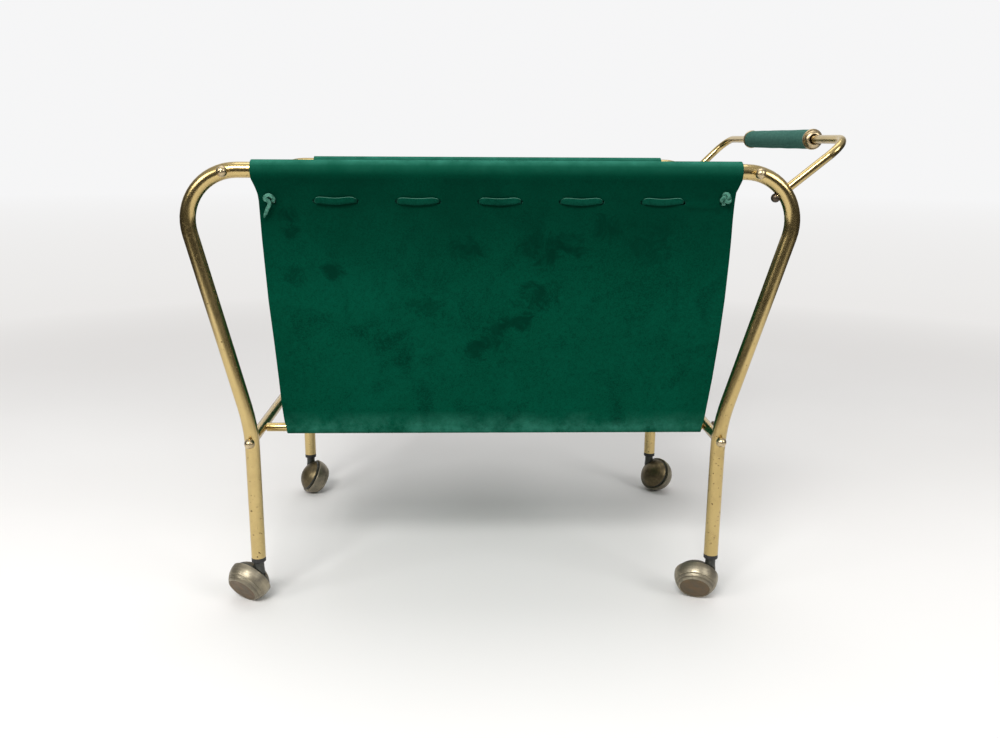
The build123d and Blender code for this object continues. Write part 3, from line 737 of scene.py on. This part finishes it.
class LacedPanel:
    """The panel that one lace runs on: side is -1 for the front one and 1 for the rear one."""

    def __init__(self, side):
        self.side = side
        self.out = Vector((0, side * panel_out.x, panel_out.y))
        self.down = Vector((0, side * panel_down.x, panel_down.y))

    def spot(self, x, down, out):
        """At x along the sling, so far below the line of holes and out of the panel's middle."""
        p = on_panel(lace_drop + down, -out)
        return Vector((x, self.side * p.x, p.y))

    def stitches(self):
        """In and out through the holes. A stitch on the outside stands up at both its ends."""
        narrow, bunched = 3.4 * mm, 2.4 * mm
        stations = []
        for i in range(hole_count - 1):
            x0, x1 = holes[i], holes[i + 1]
            outside = i % 2 == 1
            level = stitch_front if outside else -stitch_back
            way = 1 if outside else -1
            chance = noise.noise(Vector((i * 3.1, self.side * 2.0, 0.3)))
            droop = (-1.1 + 0.6 * chance) * mm if outside else 0.3 * mm
            lift = 0.5 * mm if outside else 0
            rise = -0.8 * mm if outside else 0.1 * mm
            away = level + way * lift
            tip = self.out * way
            going_out = (tip - along * 0.9).normalized()
            going_in = (tip + along * 0.9).normalized()
            stations += [
                (self.spot(x0, 0, -flap_in / 2), along * -way, narrow, bunched),
                (self.spot(x0 + 1.4 * mm, rise, level * 0.9), going_out, 4.6 * mm, 2.0 * mm),
                (self.spot(x0 + 4.5 * mm, droop * 1.3, away), tip, lace_wide * 0.97, lace_thick),
                (self.spot((x0 + x1) / 2, droop * 0.5, away), tip, lace_wide, lace_thick),
                (self.spot(x1 - 5.5 * mm, droop * 1.5, away), tip, lace_wide * 0.93, lace_thick),
                (self.spot(x1 - 1.4 * mm, rise * 1.6, level * 0.9), going_in, 4.0 * mm, 2.1 * mm),
            ]
        stations.append((self.spot(holes[-1], 0, -flap_in / 2), along, narrow, bunched))
        stations.append((self.spot(holes[-1], 0, stitch_front + 2 * mm), along, narrow, bunched))
        return smooth_strip(stations, 5)

    def tail(self):
        """Out of the first hole, once round in a small curl, then a tapering tail."""
        tilt = (self.out - self.down * 0.35).normalized()
        stations = [
            (self.spot(holes[0] + dx * mm, down * mm, out * mm), tilt, wide * mm, thick * mm)
            for dx, down, out, wide, thick in CURL
        ]
        return smooth_strip(stations, 6)

    def knot(self):
        """An overhand knot, drawn up tight beside the last hole."""
        centre = self.spot(holes[-1] + 0.6 * mm, -5.2 * mm, half_sheet + 4.0 * mm)
        turns = 72
        stations = []
        for i in range(turns + 1):
            t = tau * i / turns
            px = (sin(t) + 2 * sin(2 * t)) * 1.6 * mm
            pd = (cos(t) - 2 * cos(2 * t)) * 1.45 * mm
            po = -sin(3 * t) * 1.5 * mm
            here = centre + along * px + self.down * pd + self.out * po
            up = (self.out + (here - centre) * 220).normalized()
            stations.append((here, up, 3.2 * mm, 2.1 * mm))
        return sweep_strip(stations)

    def stub(self):
        """The thong between the knot and the last hole."""
        line = [
            self.spot(holes[-1] - 0.6 * mm, -3.4 * mm, half_sheet + 2.8 * mm),
            self.spot(holes[-1] - 0.8 * mm, -0.8 * mm, half_sheet + 2.4 * mm),
            self.spot(holes[-1] - 0.4 * mm, 1.4 * mm, half_sheet + 1.6 * mm),
        ]
        return sweep_strip([(here, self.out, 3.4 * mm, 1.6 * mm) for here in smooth_line(line, 4)])


def make_lace(side, name, node):
    """One thong, with a curled tail at its left end and a knot at its right."""
    panel = LacedPanel(side)
    points, faces = merged([panel.stitches(), panel.tail(), panel.knot(), panel.stub()])
    piece = new_piece(name, points, faces, "lace_suede")
    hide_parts(node)


make_lace(-1, "front_lace_thong", "front_lace")
make_lace(1, "rear_lace_thong", "rear_lace")


# ---------------------------------------------------------------- grip cover
def grip_ends():
    """The grip's two ends on the crossbar's axis, from the ferrules against them."""
    low_a, high_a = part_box("front_grip_ferrule")
    low_b, high_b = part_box("rear_grip_ferrule")
    middle_a, middle_b = (low_a + high_a) / 2, (low_b + high_b) / 2
    way = (middle_b - middle_a).normalized()
    cap_length = 6.6 * mm
    return middle_a + way * cap_length / 2, middle_b - way * cap_length / 2, way


def make_cover():
    """A suede sleeve wrapped round the core, its edges butted along a seam low on its inner side."""
    start, end, way = grip_ends()
    side_way = way.cross(Vector((0, 0, 1))).normalized()
    up_way = side_way.cross(way)
    rings, around = 90, 64
    outer_r, inner_r = 9.3 * mm, 7.5 * mm
    seam_at = radians(232)
    points, faces = [], []

    def ring(s, radius, rough):
        for k in range(around):
            a = tau * k / around
            away = abs((a - seam_at + pi) % tau - pi)
            r = radius
            if rough:
                r += noise.noise(Vector((s * 40, cos(a) * 1.3, sin(a) * 1.3))) * 0.22 * mm
                r -= 0.5 * mm * np.exp(-((away * radius / (0.9 * mm)) ** 2))
                r += 0.22 * mm * np.exp(-(((away * radius - 2.2 * mm) / (1.2 * mm)) ** 2))
            points.append(start + way * s + (side_way * cos(a) + up_way * sin(a)) * float(r))

    length = (end - start).length
    profile = [(0.1 * mm, inner_r, False), (0.0, outer_r - 0.8 * mm, False)]
    profile += [(0.5 * mm, outer_r - 0.25 * mm, True)]
    profile += [(1.4 * mm + (length - 2.8 * mm) * i / rings, outer_r, True) for i in range(rings + 1)]
    profile += [(length - 0.5 * mm, outer_r - 0.25 * mm, True), (length, outer_r - 0.8 * mm, False)]
    profile += [(length - 0.1 * mm, inner_r, False)]
    for s, radius, rough in profile:
        ring(s, radius, rough)
    count = len(profile)
    for i in range(count):
        for k in range(around):
            j = (k + 1) % around
            n = (i + 1) % count
            faces.append((i * around + k, i * around + j, n * around + j, n * around + k))
    piece = new_piece("grip_cover_suede", points, faces, "grip_suede")
    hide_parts("handle_grip_cover")


make_cover()

# ---------------------------------------------------------------- carried-over CAD nodes
spin = {joint["name"]: joint for joint in frame["joints"]}
BRIGHT_BRONZE = (0.40, 0.35, 0.25)
DULL_BRONZE = (0.23, 0.205, 0.155)
BRONZE_DIRT = (0.07, 0.062, 0.048)
BRIGHT_CAP = (0.20, 0.155, 0.08)
DULL_CAP = (0.10, 0.08, 0.045)
CAP_DIRT = (0.04, 0.034, 0.024)

for part in record["subparts"]:
    slot = part.get("material_slot")
    if slot in finishes:
        paint(part["node"], finishes[slot])

for caster in ("front_left", "front_right", "rear_left", "rear_right"):
    joint = spin[f"{caster}_wheel_spin"]
    origin, axis = Vector(joint["pos_m"]), Vector(joint["axis"])
    wheel = worn_bronze(f"{caster}_wheel_bronze", origin, axis, BRIGHT_BRONZE, DULL_BRONZE, BRONZE_DIRT)
    cap = worn_bronze(f"{caster}_cap_bronze", origin, axis, BRIGHT_CAP, DULL_CAP, CAP_DIRT)
    paint(f"{caster}_wheel", wheel)
    paint(f"{caster}_hood_cap", cap)


# ---------------------------------------------------------------- stage and light
def make_floor():
    """A pale paper floor. Far off it turns into the backdrop's own brightness, with no horizon."""
    reach = 40.0
    corners = [(-reach, -reach, 0), (reach, -reach, 0), (reach, reach, 0), (-reach, reach, 0)]
    mesh = bpy.data.meshes.new("floor")
    mesh.from_pydata(corners, [], [(0, 1, 2, 3)])
    floor = bpy.data.objects.new("floor", mesh)
    bpy.context.scene.collection.objects.link(floor)
    look = Look("floor_paper")
    faint = look.cloud(1.2, detail=3)
    paper = look.ramp(faint, (0.3, (0.83, 0.815, 0.80)), (0.7, (0.86, 0.85, 0.84)))
    look.set(Base_Color=paper, Roughness=0.8, Specular_IOR_Level=0.1)
    length = look.node("ShaderNodeVectorMath", {"operation": "LENGTH"})
    look.put(length.inputs[0], look.place)
    away = look.times(length.outputs["Value"], 0.1)
    near_glow, mid_glow, far_glow = (0.80, 0.78, 0.765), (0.84, 0.83, 0.82), (0.92, 0.92, 0.925)
    glow = look.ramp(away, (0.08, near_glow), (0.25, mid_glow), (0.9, far_glow))
    backdrop = look.node("ShaderNodeEmission", Color=glow).outputs[0]
    sheet = look.shader.outputs[0]
    seen = look.blend_shaders(look.ramp(away, (0.09, 0.0), (0.19, 1.0)), sheet, backdrop)
    # in reflections the paper ends at its sides and just in front of the camera, in a dim room
    x, y, _ = look.parts_of(look.place)
    beside = look.ramp(look.times(look.size_of(x), 0.5), (0.42, 0.0), (0.52, 1.0))
    before = look.ramp(look.times(y, -0.5), (0.46, 0.0), (0.56, 1.0))
    beyond = look.ramp(look.times(y, 0.5), (0.35, 0.0), (0.6, 1.0))
    off = look.math("MAXIMUM", beside, before)
    dim = look.mix(off, (0.72, 0.72, 0.72), (0.05, 0.048, 0.045))
    room = look.node("ShaderNodeEmission", Color=dim).outputs[0]
    mirrored = look.blend_shaders(look.math("MAXIMUM", off, beyond), sheet, room)
    camera_ray = look.node("ShaderNodeLightPath").outputs["Is Camera Ray"]
    whole = look.blend_shaders(camera_ray, mirrored, seen)
    look.put(look.tree.nodes["Material Output"].inputs["Surface"], whole)
    mesh.materials.append(look.material)


def make_world():
    """A white backdrop behind, a dim room at the sides and behind the camera, a grey ceiling."""
    world = bpy.data.worlds.new("studio")
    bpy.context.scene.world = world
    world.use_nodes = True
    sky = Nodes(world.node_tree)
    _, back, up = sky.parts_of(sky.node("ShaderNodeTexCoord").outputs["Generated"])
    room = sky.ramp(up, (0.0, 0.06), (0.40, 0.09), (0.60, 0.42), (1.0, 0.56))
    towards_back = sky.ramp(back, (0.55, 0.0), (0.80, 1.0))
    whole = sky.mix(towards_back, room, (0.90, 0.90, 0.91))
    camera_ray = sky.node("ShaderNodeLightPath").outputs["Is Camera Ray"]
    seen = sky.mix(camera_ray, whole, (0.92, 0.92, 0.925))
    sky.put(sky.tree.nodes["Background"].inputs["Color"], seen)


def make_light(name, place, aim, size, watts, tint=(1, 1, 1)):
    """A rectangular lamp at a place, turned to face its aim."""
    data = bpy.data.lights.new(name, "AREA")
    data.shape = "RECTANGLE"
    data.size, data.size_y = size
    data.energy = watts
    data.color = tint
    lamp = bpy.data.objects.new(name, data)
    bpy.context.scene.collection.objects.link(lamp)
    lamp.location = place
    lamp.rotation_mode = "QUATERNION"
    lamp.rotation_quaternion = (Vector(aim) - Vector(place)).to_track_quat("-Z", "Y")


make_floor()
make_world()
make_light("key", (-0.55, -1.75, 1.75), (0, 0.05, 0.1), (1.0, 0.6), 34, (1.0, 0.995, 0.98))
make_light("right_key", (1.5, -1.3, 1.25), (0, 0.05, 0.1), (0.8, 0.7), 11)
make_light("left_key", (-1.6, -1.3, 1.2), (0, 0.05, 0.1), (0.8, 0.7), 10)
make_light("overhead", (0.0, 0.35, 2.4), (0, 0.1, 0.2), (1.8, 1.2), 13)

bpy.context.scene.view_settings.view_transform = "Standard"
